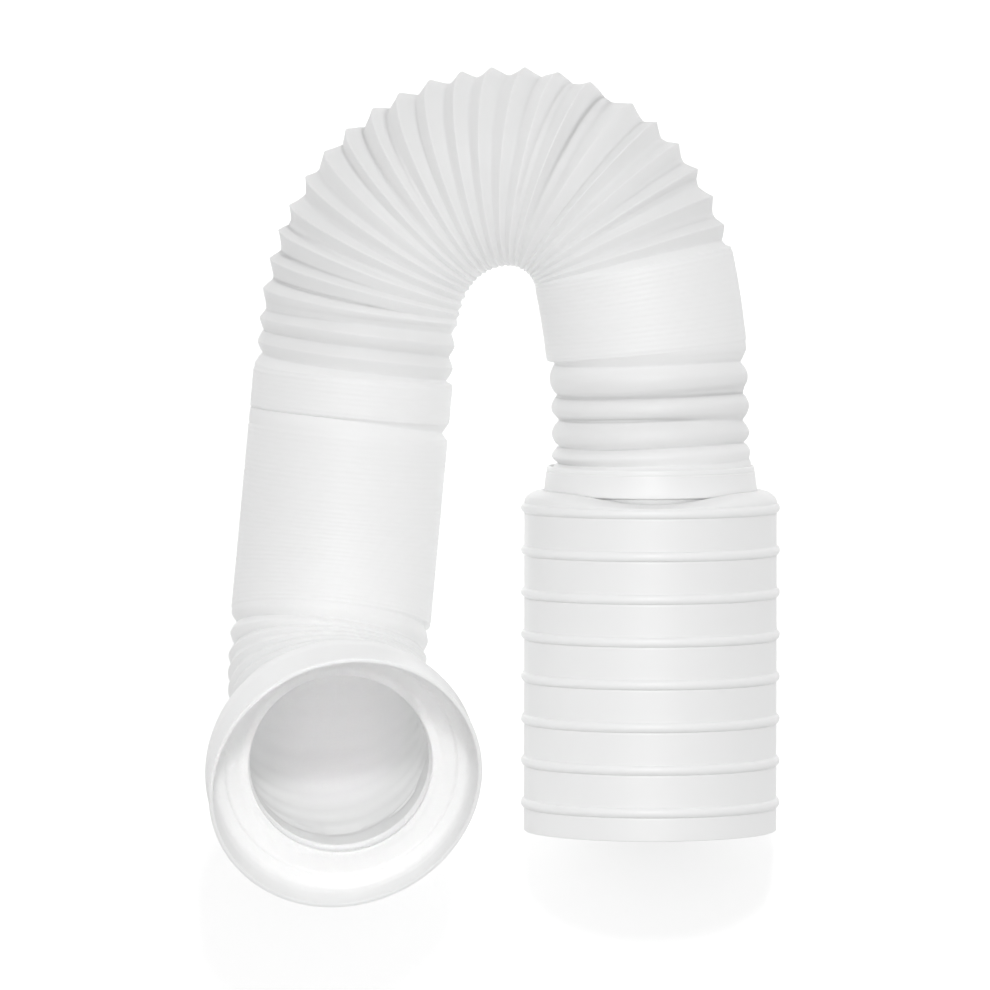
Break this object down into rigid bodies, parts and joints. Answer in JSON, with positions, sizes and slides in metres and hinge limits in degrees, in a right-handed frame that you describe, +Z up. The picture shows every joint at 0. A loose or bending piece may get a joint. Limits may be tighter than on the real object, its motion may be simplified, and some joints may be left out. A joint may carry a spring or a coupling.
{
  "type": "dryer vent hose",
  "caption": "White flexible plastic vent hose with spiral folds, bent in a U, with a ribbed collar on one end and a wide round flange on the other.",
  "frame": {"origin": "centre of the part's box, on the floor under it", "axes": "+X to the right and +Y towards the bend of the U as the picture shows it, +Z up"},
  "size_m": [0.307, 0.4466, 0.2037],
  "materials": {
    "hose_plastic": "satin, slightly translucent",
    "fitting_plastic": "satin to semi-gloss"
  },
  "bodies": {
    "root": {"hose": "hose_plastic", "hose_cuff": "fitting_plastic", "ribbed_collar": "fitting_plastic", "flared_flange": "fitting_plastic"}
  },
  "joints": []
}
